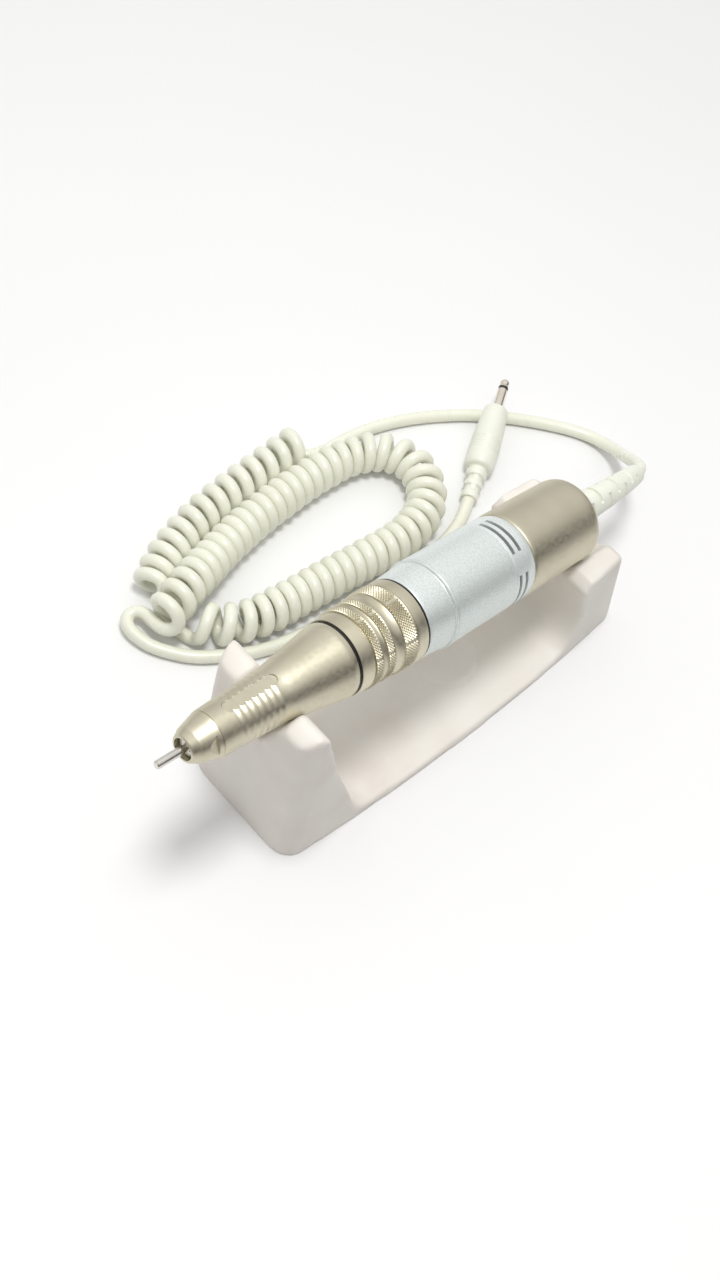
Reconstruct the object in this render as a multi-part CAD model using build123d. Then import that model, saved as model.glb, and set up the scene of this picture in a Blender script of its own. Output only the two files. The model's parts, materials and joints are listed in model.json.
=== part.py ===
from build123d import *
import math
import os

# Electric nail drill: a twist-lock handpiece with its motor, collet and test pin,
# lying in a moulded rest, with a curly cord that ends in a jack plug.
# Millimetres. The row frame has +Z up, its origin at the centre of the rest's flat
# base, and +X from the nose of the handpiece towards its cord.

os.makedirs("parts", exist_ok=True)

# ---------------------------------------------------------------- driving sizes
TILT = 8.8                      # the handpiece lies nose up in its rest
CAP_SEAM = (21.4, 0, 49.3)      # where the handpiece axis crosses the cap's front rim

# stations along the handpiece axis, measured from the cap seam towards the cord
NOSE, TIP_SEAM, CONE_SEAM, BODY_SEAM = -122.6, -114.6, -70.4, -45.0
STEP, VENT, CAP_END, BOOT_BEND, BOOT_ARC = -34.5, -8.8, 31.6, 46.0, 29.0
BODY_R, CAP_R, SHELL_BORE = 13.6, 13.5, 12.0

PIN_R, PIN_OUT, PIN_NECK, PIN_IN = 1.175, -131.1, -123.0, -106.0
SPINDLE_R, SPINDLE_BORE, SPRING_BORE = 3.0, 1.65, 2.3
BEARING_R, BEARING_W = 5.0, 3.5
SLEEVE_R, SLEEVE_BORE, COLLAR_BORE, CAM_R = 8.6, 7.4, 8.65, 10.2
TWIST, BUSH_TRAVEL, COLLET_TRAVEL = 60.0, 1.2, 0.7
PIN_STATION, CROSS_STATION = -52.0, -57.7      # guide pins and cross pin, at rest
SHAFT_R, CAN_R, CORE_R = 1.5, 11.0, 8.5
RUN = 0.05                      # running clearance

CORD_D, CURL_D = 4.3, 13.8      # cord, and the outside of its curls
BOOT_TIP_R = 3.3
REST_LENGTH, REST_WIDTH, HORN, REAR_HORN = 147.0, 49.6, 64.5, 39.0
REST_FLOOR = 3.0
PLUG_REAR, PLUG_AIM = (62.5, 39.5, 3.6), (0.842, 0.523, 0.148)
PLUG_BODY, BARREL, BARREL_R = 38.6, 13.0, 1.75

HANDPIECE = Location(CAP_SEAM, (0, TILT, 0))


# ---------------------------------------------------------------- helpers
def keep(node, shape):
    """Write one node: a solid, or a group of separate solids."""
    if isinstance(shape, (list, tuple)):
        shape = Compound(children=[Part(s.wrapped) if isinstance(s, Solid) else s for s in shape])
    export_step(shape, f"parts/{node}.step")


def turned(*outline):
    """A solid turned about the X axis from a closed outline of (station, radius)."""
    return revolve(make_face(Polyline(*outline, close=True)), Axis.X)


def ring(start, end, outer, inner=0.0):
    """A plain ring, or a plain round when it has no bore."""
    return turned((start, inner), (end, inner), (end, outer), (start, outer))


def sector(start, end, outer, inner, centre, span):
    """Part of a ring: span degrees wide, about the angle centre."""
    face = make_face(Polyline((start, inner), (end, inner), (end, outer), (start, outer), close=True))
    return Rot(centre - span / 2, 0, 0) * revolve(face, Axis.X, revolution_arc=span)


def spoke(station, angle, radius, low, high):
    """A round bar that stands out from the axis between two radii."""
    bar = Pos(0, 0, low) * Cylinder(radius, high - low, align=(Align.CENTER, Align.CENTER, Align.MIN))
    return Pos(station, 0, 0) * Rot(angle, 0, 0) * bar


def around(shape, count, first=0.0):
    """Copies of a shape, evenly spaced about the X axis."""
    return [Rot(first + 360 * i / count, 0, 0) * shape for i in range(count)]


def block(start, end, y0, y1, z0, z1):
    size = (end - start, y1 - y0, z1 - z0)
    return Pos(start, y0, z0) * Box(*size, align=(Align.MIN, Align.MIN, Align.MIN))


def placed(shape):
    """Move a piece, or each piece of a group, from the handpiece axis into the row frame."""
    if isinstance(shape, (list, tuple)):
        return [HANDPIECE * s for s in shape]
    return HANDPIECE * shape


# ---------------------------------------------------------------- the rest
def base_outline(half_length_front, half_length_rear, half_end, half_middle, corner):
    """Rounded outline with bowed sides, as one face in the XY plane."""
    front, rear = -half_length_front, half_length_rear
    corner_points = [
        ThreePointArc((front + corner, half_end), (0, half_middle), (rear - corner, half_end)),
        JernArc((rear - corner, half_end), (1, 0), corner, -90),
        Line((rear, half_end - corner), (rear, -half_end + corner)),
        JernArc((rear, -half_end + corner), (0, -1), corner, -90),
        ThreePointArc((rear - corner, -half_end), (0, -half_middle), (front + corner, -half_end)),
        JernArc((front + corner, -half_end), (-1, 0), corner, -90),
        Line((front, -half_end + corner), (front, half_end - corner)),
        JernArc((front, half_end - corner), (0, 1), corner, -90),
    ]
    return make_face(corner_points)


def side_profile():
    """The rest's outline from the side: a tall front horn, a low floor, a lower rear horn."""
    half = REST_LENGTH / 2
    front_curve = Spline((-67.5, 62.5), (-60.3, 40.0), (-51.3, 17.0), (-40.0, REST_FLOOR),
                         tangents=[(0.25, -1), (1, -0.05)])
    rear_curve = Spline((38.0, REST_FLOOR), (47.0, 13.5), (43.6, 35.0), tangents=[(1, 0.05), (-0.3, 1)])
    edges = [
        Line((-half - 1, 0), (-half - 1, HORN)),
        Line((-half - 1, HORN), (-69.5, HORN)),
        Line((-69.5, HORN), (-67.5, 62.5)),
        front_curve,
        Line((-40.0, REST_FLOOR), (38.0, REST_FLOOR)),
        rear_curve,
        Polyline((43.6, 35.0), (46.5, 38.4), (60.0, REAR_HORN), (63.5, 36.0), (half + 1, 0), (-half - 1, 0)),
    ]
    return make_face(edges)


def notch(width_point, half_angle, bottom, start, end):
    """A V groove along X with a flat bottom: width_point is (half width, height) on its wall."""
    lean = math.tan(math.radians(half_angle))
    half, height = width_point
    low = half - (height - bottom) * lean
    high = half + (HORN + 5 - height) * lean
    face = make_face(Polyline((-high, HORN + 5), (-low, bottom), (low, bottom), (high, HORN + 5),
                              close=True))
    return extrude(Plane((start, 0, 0), x_dir=(0, 1, 0), z_dir=(1, 0, 0)) * face, amount=end - start)


def hand_rest():
    half = REST_LENGTH / 2
    lower = base_outline(half, half, 22.0, REST_WIDTH / 2, 7.0)
    upper = Pos(0, 0, HORN + 1) * base_outline(half - 1.0, half - 15.0, 18.0, 20.6, 5.0)
    shape = loft([lower, upper], ruled=True)
    side = Plane((0, 60, 0), x_dir=(1, 0, 0), z_dir=(0, -1, 0)) * side_profile()
    shape &= extrude(side, amount=120)
    shape -= notch((7.6, 60.8), 21.0, 46.0, -half - 5, -45.0)
    shape -= notch((11.2, 38.0), 32.0, 30.0, 35.0, half + 5)
    shape -= placed(turned((-117, 0), (-117, 7.2), (-92.6, 8.1), (-71, 11.4), (-60, 13.9), (60, 13.9),
                           (60, 0)))
    return shape


# ---------------------------------------------------------------- outer casings
def cone_radius(station):
    """Outside of the nose cone: nearly straight at the finger grip, wider behind it."""
    if station < -92.6:
        return 6.8 + (station - TIP_SEAM) * (1.0 / 22.0)
    return 7.8 + (station + 92.6) * (3.3 / 22.2)


def nose_tip():
    body = turned((NOSE, 3.15), (NOSE, 3.9), (-121.9, 4.3), (-119.0, 5.6), (TIP_SEAM, 6.8),
                  (TIP_SEAM, 4.98), (-112.8, 4.98), (-112.8, 3.4), (-118, 3.4), (-118, 3.15))
    for side in (-1, 1):
        body -= Rot(-28, 0, 0) * block(-118.4, -115.2, side * 9 - 3.2, side * 9 + 3.2, -6, 6)
    return body


def nose_cone():
    back = CONE_SEAM - 0.3
    body = turned((TIP_SEAM + 0.05, BEARING_R), (TIP_SEAM + 0.05, 6.8), (-92.6, 7.8), (-72.4, cone_radius(-72.4)),
                  (back, 11.0), (back, SLEEVE_R), (-78, SLEEVE_R), (-98, 3.6), (-105.6, 3.6), (-105.6, BEARING_R))
    return body


COLLAR_BANDS = [(-69.95, 11.35), (-65.2, 11.6), (-65.2, 11.85), (-62.6, 11.95), (-62.6, 11.4), (-60.6, 11.5),
                (-60.6, 12.0), (-58.1, 12.1), (-58.1, 11.75), (-54.6, 11.95), (-54.6, 12.4), (-49.7, 12.6),
                (-49.7, 12.3), (-45.4, 12.6)]


def lock_collar():
    bore = [(-45.4, COLLAR_BORE), (-47.5, COLLAR_BORE), (-47.5, CAM_R), (-57, CAM_R), (-57, COLLAR_BORE),
            (-69.95, COLLAR_BORE)]
    return turned(*COLLAR_BANDS, *bore)


def body_shell():
    front = BODY_SEAM + 0.25
    return turned((front, SLEEVE_R), (front, 12.5), (STEP, 13.3), (STEP, BODY_R), (VENT, BODY_R),
                  (VENT, SHELL_BORE), (-41, SHELL_BORE), (-41, SLEEVE_R))


def vent_ring():
    body = turned((VENT, SHELL_BORE), (VENT, 13.5), (-1.2, 13.5), (0, 13.2), (0, 12.15), (4, 12.15), (4, 11.2),
                  (0, 11.2), (-1, SHELL_BORE))
    for station in (-7.0, -4.3):
        for angle in (0, 90, 180, 270):
            body -= sector(station - 0.6, station + 0.6, 15, 11, angle + 86, 62)
    return body


def end_cap():
    return turned((0, 12.2), (0, CAP_R - 0.3), (0.6, CAP_R), (CAP_END - 1.5, 13.2), (CAP_END, 12.4), (CAP_END, 4.2),
                  (29, 4.2), (29, 12.2))


def boot_point(distance):
    """Centre of the boot at a distance along it past the bend, with its heading, in degrees."""
    radius = 75.0
    angle = distance / radius
    side = Vector(0, 2.5, -5.0).normalized()
    drop = radius * (1 - math.cos(angle))
    centre = Vector(BOOT_BEND + radius * math.sin(angle), 0, 0) + side * drop
    heading = Vector(math.cos(angle), 0, 0) + side * math.sin(angle)
    return centre, heading


def boot_radius(share):
    return 4.7 + (BOOT_TIP_R - 4.7) * share


def strain_relief():
    straight = turned((27.4, 0), (27.4, 5.6), (28.9, 5.6), (28.9, 4.15), (CAP_END, 4.15), (CAP_END, 5.2),
                      (BOOT_BEND, 4.7), (BOOT_BEND, 0))
    rings = []
    for step in range(4):
        centre, heading = boot_point(BOOT_ARC * step / 3)
        rings.append(Plane(centre, z_dir=heading) * Circle(boot_radius(step / 3)))
    return straight + loft(rings) - ring(27.3, 44, CORD_D / 2 + RUN)


# ---------------------------------------------------------------- lock and collet
def inner_sleeve():
    body = ring(-78, -41, SLEEVE_R, SLEEVE_BORE)
    for angle in (0, 180):
        slot = spoke(PIN_STATION, angle, 1.0 + RUN, 6, 10)
        slot += spoke(PIN_STATION - BUSH_TRAVEL - 0.2, angle, 1.0 + RUN, 6, 10)
        middle = Pos(PIN_STATION - BUSH_TRAVEL / 2 - 0.1, 0, 0) * Box(BUSH_TRAVEL + 0.2, 2.1, 20)
        body -= slot + middle
    return body


def cam_ring():
    """A ring pressed into the collar, with a sloped slot for each guide pin."""
    body = ring(-56, -48, CAM_R, COLLAR_BORE)
    steps = 16
    for side in (0, 180):
        for step in range(steps + 1):
            share = step / steps
            station = PIN_STATION - BUSH_TRAVEL * share
            body -= spoke(station, side - (TWIST + 3) * share, 1.1, 8, 11)
    return body


def slide_bush():
    body = turned((-56.35, 3.4), (-56.35, SLEEVE_BORE - RUN), (-49, SLEEVE_BORE - RUN), (-49, 5.2), (-55.4, 5.2),
                  (-55.4, 3.4))
    for angle in (0, 180):
        body -= spoke(PIN_STATION, angle, 1.0, 5, 9)
    return body


def guide_pins():
    return [spoke(PIN_STATION, angle, 1.0, 5.3, 9.9) for angle in (0, 180)]


def spindle():
    body = turned((-121.3, 2.25), (-121.3, 2.6), (-121, 2.85), (-113.5, 2.85), (-113.5, SPINDLE_R), (-50, SPINDLE_R),
                  (-50, SPRING_BORE), (-75, SPRING_BORE), (-75, SPINDLE_BORE), (-118.6, SPINDLE_BORE))
    return body - block(-59.3, -56.8, -0.65, 0.65, -5, 5)


def collet():
    body = turned((-121.4, PIN_R + 0.025), (-121.4, 2.1), (-118.8, 1.58), (-104, 1.58), (-104, 0), (-105, 0),
                  (-105, PIN_R + 0.025))
    for slit in around(block(-122, -110, -0.18, 0.18, 0, 3), 3, 90):
        body -= slit
    return body


def drawbar():
    body = turned((-104, 0), (-104, 1.45), (-60.6, 1.45), (-60.6, 2.2), (-59.6, 2.2), (-59.6, 1.45),
                  (-56, 1.45), (-56, 0))
    return body - Pos(CROSS_STATION, 0, 0) * Cylinder(0.6, 6)


def thrust_ring():
    return ring(-58.5, -56.9, 4.9, SPINDLE_R + RUN) - Pos(CROSS_STATION, 0, 0) * Cylinder(0.6, 12)


def cross_pin():
    return Pos(CROSS_STATION, 0, 0) * Cylinder(0.6, 9)


def disc_springs():
    """Conical washers, stacked in opposed pairs inside the spindle."""
    washers = []
    for pair in range(8):
        start = -74.9 + pair * 1.7
        lean = 0.45
        washers.append(turned((start, 1.6), (start + 0.3, 1.6), (start + 0.3 + lean, 2.2), (start + lean, 2.2)))
        second = start + 0.85
        washers.append(turned((second + lean, 1.6), (second + lean + 0.3, 1.6), (second + 0.3, 2.2), (second, 2.2)))
    return washers


def bearings(stations):
    """Inner rings, outer rings and balls of a pair of bearings."""
    inner, outer, balls = [], [], []
    for start in stations:
        inner.append(ring(start, start + BEARING_W, 3.45, SPINDLE_R))
        outer.append(ring(start, start + BEARING_W, BEARING_R, 4.55))
        ball = Pos(start + BEARING_W / 2, 0, 4.0) * Sphere(0.5)
        balls += around(ball, 8)
    return inner, outer, balls


def drive_dog():
    body = ring(-53.5, -50, 4.6, SPINDLE_R) + ring(-50, -49, 4.6)
    return body + ring(-49.5, -47.5, 4.6) - block(-49, -47, -0.95, 0.95, -6, 6)


def motor_dog():
    body = ring(-46.5, -44, 4.6, SHAFT_R)
    return body + block(-48.8, -46.5, -0.9, 0.9, -4.5, 4.5) - ring(-47, -46, SHAFT_R)


# ---------------------------------------------------------------- motor
def motor_flange():
    body = ring(-40.8, -38.3, SHELL_BORE, 2.5)
    for screw_hole in around(Pos(-39.5, 0, 5.5) * Rot(0, 90, 0) * Cylinder(0.8, 4), 2, 90):
        body -= screw_hole
    return body


def motor_screws():
    head = Pos(-41.3, 0, 5.5) * Rot(0, 90, 0) * Cylinder(1.5, 1.0)
    shank = Pos(-39.1, 0, 5.5) * Rot(0, 90, 0) * Cylinder(0.8, 3.4)
    return around(head + shank, 2, 90)


def motor_can():
    body = turned((-38.3, 2.6), (-38.3, CAN_R), (-10.5, CAN_R), (-10.5, CAN_R - 0.8), (-37.3, CAN_R - 0.8), (-37.3, 2.6))
    for screw_hole in around(Pos(-37.8, 0, 5.5) * Rot(0, 90, 0) * Cylinder(0.8, 4), 2, 90):
        body -= screw_hole
    return body


def rotor_core():
    body = ring(-33.5, -20, CORE_R, SHAFT_R)
    for slot in around(block(-34, -19, -0.5, 0.5, 5.2, 9), 5):
        body -= slot
    for pocket in around(block(-34, -19, -1.7, 1.7, 3.6, 6.8), 5):
        body -= pocket
    return body


def windings():
    coils = []
    for angle in range(5):
        coils.append(Rot(72 * angle, 0, 0) * block(-35.6, -17.9, -1.5, 1.5, 3.9, 6.6))
    return coils


def commutator():
    body = ring(-17.2, -13.5, 3.3, SHAFT_R)
    for slit in around(block(-18, -13, -0.15, 0.15, 2.7, 4), 5):
        body -= slit
    return body


def brush_holder():
    body = ring(-13.0, -10.6, CAN_R - 0.8, 2.6)
    for guide in around(block(-17.4, -13.0, -1.8, 1.8, 4.0, 9.2), 2):
        body += guide
    for channel in around(block(-16.6, -14.0, -1.05, 1.05, 3, 8.9), 2):
        body -= channel
    return body


def brushes():
    return around(block(-16.5, -14.1, -1.0, 1.0, 3.35, 6.6), 2)


def brush_springs():
    coil = Pos(-15.3, 0, 6.6) * Cylinder(0.8, 2.3, align=(Align.CENTER, Align.CENTER, Align.MIN))
    return around(coil, 2)


def terminals():
    return around(block(-10.6, -7.6, -1.1, 1.1, 9.2, 9.7), 2, 90)


def motor_bushings():
    return [ring(-40.8, -38.4, 2.5, SHAFT_R + RUN), ring(-13.0, -10.6, 2.6, SHAFT_R + RUN)]


def magnets():
    return [sector(-36, -19, CAN_R - 0.8, 8.9, angle, 120) for angle in (0, 180)]


def fan():
    body = ring(-9.3, -4.4, 3.0, SHAFT_R) + ring(-9.3, -8.5, 8.5, SHAFT_R)
    for blade in around(block(-8.6, -4.6, -0.4, 0.4, 2.8, 8.3), 9):
        body += blade
    return body


def lead_wires():
    wires = []
    for side in (-1, 1):
        route = FilletPolyline((-7.6, side * 9.45), (6, side * 9.45), (14, side * 1.1), (20, side * 1.1), radius=3)
        section = Plane((-7.6, side * 9.45, 0), z_dir=(1, 0, 0)) * Circle(0.5)
        wires.append(sweep(section, path=route))
    return wires


def cord_tail():
    return ring(20, 43.8, CORD_D / 2)


def clamp_halves():
    """Two bars that grip the cord behind the motor, with two screws through both."""
    bore = ring(20.5, 26, CORD_D / 2)
    holes = [Pos(23, y, 0) * Cylinder(0.95, 20) for y in (-6.5, 6.5)]
    lower = block(21, 25, -10.3, 10.3, -5.0, -0.05) - bore - holes[0] - holes[1]
    upper = block(21, 25, -9.5, 9.5, 0.05, 4.0) - bore - holes[0] - holes[1]
    screws = []
    for y in (-6.5, 6.5):
        shank = Pos(23, y, -4.8) * Cylinder(0.95, 8.8, align=(Align.CENTER, Align.CENTER, Align.MIN))
        head = Pos(23, y, 4.0) * Cylinder(1.7, 1.3, align=(Align.CENTER, Align.CENTER, Align.MIN))
        screws.append(shank + head)
    return lower, upper, screws


# ---------------------------------------------------------------- cord and plug
BOOT_TIP = HANDPIECE * Pos(*boot_point(BOOT_ARC)[0])
EXIT = tuple(BOOT_TIP.position)

REAR_LEAD = [(101.48, 3.93, 28.95), (108.0, 8.9, 22.2), (114.0, 14.4, 14.6), (119.4, 20.8, 7.7), (121.9, 29.0, 3.2),
             (119.3, 37.6, 2.2), (111.8, 47.4, 2.2), (101.0, 58.6, 2.2), (88.0, 69.0, 2.2), (72.0, 78.2, 2.2),
             (57.0, 84.6, 2.2), (45.5, 88.3, 2.4), (37.1, 88.6, 2.5)]
CURL_REAR = [(37.0, 90.8, 7.0), (23.0, 91.2, 7.0), (8.0, 90.6, 7.0), (-8.0, 89.6, 7.0), (-22.5, 87.0, 7.0),
             (-35.9, 82.8, 7.0), (-44.2, 78.2, 7.0), (-50.3, 73.0, 7.0)]
LINK = [(-50.4, 72.9, 4.0), (-53.6, 70.2, 3.5), (-55.6, 65.6, 2.4), (-54.6, 60.4, 2.4), (-51.0, 57.1, 3.3),
        (-47.2, 54.2, 3.8)]
CURL_FRONT = [(-47.0, 54.0, 7.0), (-39.5, 48.3, 7.0), (-25.0, 43.7, 7.0), (-8.0, 42.6, 7.0), (10.0, 41.2, 7.0),
              (27.0, 39.3, 7.0), (41.5, 41.4, 7.0), (51.2, 48.7, 7.0), (55.6, 59.8, 7.0), (50.4, 70.6, 7.0),
              (38.0, 75.8, 7.0), (20.0, 76.8, 7.0), (0.0, 74.9, 7.0), (-18.0, 72.0, 7.2), (-33.0, 67.6, 9.4),
              (-44.6, 62.2, 13.4), (-54.2, 59.4, 14.2)]
FRONT_LEAD = [(-55.5, 62.9, 11.6), (-59.9, 61.7, 11.9), (-63.0, 57.9, 8.8), (-60.6, 53.0, 4.8), (-54.6, 48.0, 2.5),
              (-45.0, 41.4, 2.2), (-32.0, 36.0, 2.2), (-16.0, 32.8, 2.2), (4.0, 30.7, 2.2), (22.0, 30.3, 2.2),
              (37.0, 31.2, 2.2), (48.0, 32.9, 2.2), (57.0, 36.1, 2.7), PLUG_REAR]


def corner_radii(points):
    """The largest arc at each corner: 0.45 of the shorter run over the tangent of half the turn."""
    radii = []
    for a, b, c in zip(points, points[1:], points[2:]):
        first, second = Vector(*b) - Vector(*a), Vector(*c) - Vector(*b)
        half_turn = math.radians(first.get_angle(second)) / 2
        radii.append(0.45 * min(first.length, second.length) / math.tan(half_turn))
    return radii


def cord_tube(name, points, diameter):
    radii = corner_radii(points)
    route = FilletPolyline(*points, radius=radii)
    section = Plane(points[0], z_dir=Vector(*points[1]) - Vector(*points[0])) * Circle(diameter / 2)
    tube = sweep(section, path=route)
    expected = math.pi * diameter ** 2 / 4 * route.length
    print(name, "length", round(route.length, 1), "smallest radius", round(min(radii), 1),
          "volume share", round(tube.volume / expected, 4))
    return tube


def plug_pieces():
    aim = Vector(*PLUG_AIM).normalized()
    side = Vector(0, 0, 1).cross(aim)
    place = Plane(PLUG_REAR, x_dir=aim, z_dir=aim.cross(side)).location
    rear, front = 12.6, PLUG_BODY
    cover = turned((0, 0), (0, 2.6), (0.6, 3.05), (2.6, 3.05), (3.0, 2.6), (4.6, 2.6), (5.0, 3.25), (6.8, 3.25),
                   (7.2, 2.7), (8.6, 2.7), (9.0, 3.6), (rear - 1.4, 3.7), (rear - 1.0, 3.2), (rear - 0.2, 3.2),
                   (rear, 4.7), (rear + 1.5, 5.3), (rear + 11, 5.1), (front - 1.2, 4.25), (front, 3.3), (front, 0))
    sleeve = turned((front, 0), (front, 1.5), (front + 0.3, 1.5), (front + 0.3, BARREL_R),
                    (front + 8.6, BARREL_R), (front + 8.6, 0))
    insulator = ring(front + 8.6, front + 9.5, BARREL_R)
    tip = turned((front + 9.5, 0), (front + 9.5, 1.6), (front + 10.3, 1.4), (front + 11.4, 1.7), (front + 12.2, 1.45),
                 (front + BARREL, 0.5), (front + BARREL, 0))
    return [place * piece for piece in (cover, sleeve, insulator, tip)]


# ---------------------------------------------------------------- write every node
keep("hand_rest", hand_rest())

for node, build in {
    "nose_tip": nose_tip, "nose_cone": nose_cone, "lock_collar": lock_collar, "body_shell": body_shell,
    "vent_ring": vent_ring, "end_cap": end_cap, "strain_relief": strain_relief, "inner_sleeve": inner_sleeve,
    "cam_ring": cam_ring, "slide_bush": slide_bush, "guide_pins": guide_pins, "spindle": spindle, "collet": collet,
    "drawbar": drawbar, "thrust_ring": thrust_ring, "cross_pin": cross_pin, "disc_springs": disc_springs,
    "drive_dog": drive_dog, "motor_dog": motor_dog, "motor_flange": motor_flange, "motor_screws": motor_screws,
    "motor_can": motor_can, "magnets": magnets, "rotor_core": rotor_core, "windings": windings,
    "commutator": commutator, "brush_holder": brush_holder, "brushes": brushes, "brush_springs": brush_springs,
    "terminals": terminals, "motor_bushings": motor_bushings, "fan": fan, "lead_wires": lead_wires,
    "cord_tail": cord_tail,
}.items():
    keep(node, placed(build()))

keep("front_seal_ring", placed(ring(CONE_SEAM - 0.3, CONE_SEAM + 0.3, 10.95, SLEEVE_R)))
keep("rear_seal_ring", placed(ring(BODY_SEAM - 0.25, BODY_SEAM + 0.25, 12.35, SLEEVE_R)))
keep("bearing_housing", placed(ring(-68.2, -60.6, SLEEVE_BORE, BEARING_R)))
keep("motor_shaft", placed(ring(-47, -4, SHAFT_R)))
keep("test_pin", placed(turned((PIN_OUT, 0), (PIN_OUT, 0.9), (PIN_OUT + 0.3, PIN_R), (PIN_NECK, PIN_R),
                               (PIN_NECK, 1.0), (PIN_NECK + 1.5, 1.0), (PIN_NECK + 1.5, PIN_R),
                               (PIN_IN - 0.3, PIN_R), (PIN_IN, 0.9), (PIN_IN, 0))))

for place, stations in {"front": (-112.7, -109.1), "rear": (-67.9, -64.3)}.items():
    inner, outer, balls = bearings(stations)
    keep(f"{place}_bearing_inner", placed(inner))
    keep(f"{place}_bearing_outer", placed(outer))
    keep(f"{place}_bearing_balls", placed(balls))

lower, upper, screws = clamp_halves()
keep("clamp_lower", placed(lower))
keep("clamp_upper", placed(upper))
keep("clamp_screws", placed(screws))

keep("cord_rear_lead", cord_tube("rear lead", [EXIT, *REAR_LEAD], CORD_D))
keep("cord_curl_rear", cord_tube("rear curl", CURL_REAR, CURL_D))
keep("cord_link", cord_tube("link", LINK, CORD_D))
keep("cord_curl_front", cord_tube("front curl", CURL_FRONT, CURL_D))
keep("cord_front_lead", cord_tube("front lead", FRONT_LEAD, CORD_D))

for node, piece in zip(("plug_cover", "plug_sleeve", "plug_insulator", "plug_tip"), plug_pieces()):
    keep(node, piece)
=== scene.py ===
"""The looks of the electric nail drill: its rest, handpiece, curly cord and jack plug.

Sizes are in millimetres unless a name says otherwise, and turn into metres where a mesh
is made. Stations run along the handpiece axis from the cap seam, towards the cord.
Angles round that axis start at its upper side and turn towards +Y.
"""

import json
import math

import bmesh
import bpy
import numpy as np
from mathutils import Matrix, Vector


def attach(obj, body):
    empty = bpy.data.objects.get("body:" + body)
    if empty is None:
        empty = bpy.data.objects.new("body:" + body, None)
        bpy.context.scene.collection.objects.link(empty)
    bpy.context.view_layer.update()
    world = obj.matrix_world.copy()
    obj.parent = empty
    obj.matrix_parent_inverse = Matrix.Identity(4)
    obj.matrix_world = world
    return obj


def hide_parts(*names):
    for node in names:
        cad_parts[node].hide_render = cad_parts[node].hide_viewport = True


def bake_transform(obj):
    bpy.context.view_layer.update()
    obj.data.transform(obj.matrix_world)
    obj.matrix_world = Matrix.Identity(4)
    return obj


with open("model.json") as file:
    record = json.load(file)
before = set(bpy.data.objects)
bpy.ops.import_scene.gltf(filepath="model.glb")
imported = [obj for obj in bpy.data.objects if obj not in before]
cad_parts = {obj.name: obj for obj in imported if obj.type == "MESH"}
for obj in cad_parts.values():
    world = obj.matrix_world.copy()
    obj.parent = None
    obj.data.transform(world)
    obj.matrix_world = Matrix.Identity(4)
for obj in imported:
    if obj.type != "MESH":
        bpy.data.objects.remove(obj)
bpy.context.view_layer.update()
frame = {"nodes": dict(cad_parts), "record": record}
MM = 0.001

# ---------------------------------------------------------------- driving sizes
TILT, CAP_SEAM = 8.8, (21.4, 0.0, 49.3)
NOSE, TIP_SEAM, CONE_SEAM, BODY_SEAM = -122.6, -114.6, -70.4, -45.0
VENT, BOOT_BEND, BOOT_ARC = -8.8, 46.0, 29.0
BODY_R, SHELL_BORE, SLEEVE_R, COLLAR_BORE = 13.6, 12.0, 8.6, 8.65
CORD_D, HELIX_R, BOOT_TIP_R = 4.3, 4.75, 3.3
PLUG_REAR, PLUG_AIM, PLUG_BODY = (62.5, 39.5, 3.6), (0.842, 0.523, 0.148), 38.6

HANDPIECE = Matrix.Translation(CAP_SEAM) @ Matrix.Rotation(math.radians(TILT), 4, "Y")


# ---------------------------------------------------------------- shader helpers
def tone(red, green, blue):
    """A display colour from 0 to 255 as a linear colour."""
    channels = [c / 255 for c in (red, green, blue)]
    linear = [c / 12.92 if c <= 0.04045 else ((c + 0.055) / 1.055) ** 2.4 for c in channels]
    return (*linear, 1.0)


def set_stops(ramp, stops):
    """Give a colour ramp its stops: (place, colour) pairs."""
    for spare in stops[2:]:
        ramp.color_ramp.elements.new(spare[0])
    for element, (where, colour) in zip(ramp.color_ramp.elements, stops):
        element.position = where
        element.color = colour


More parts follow.
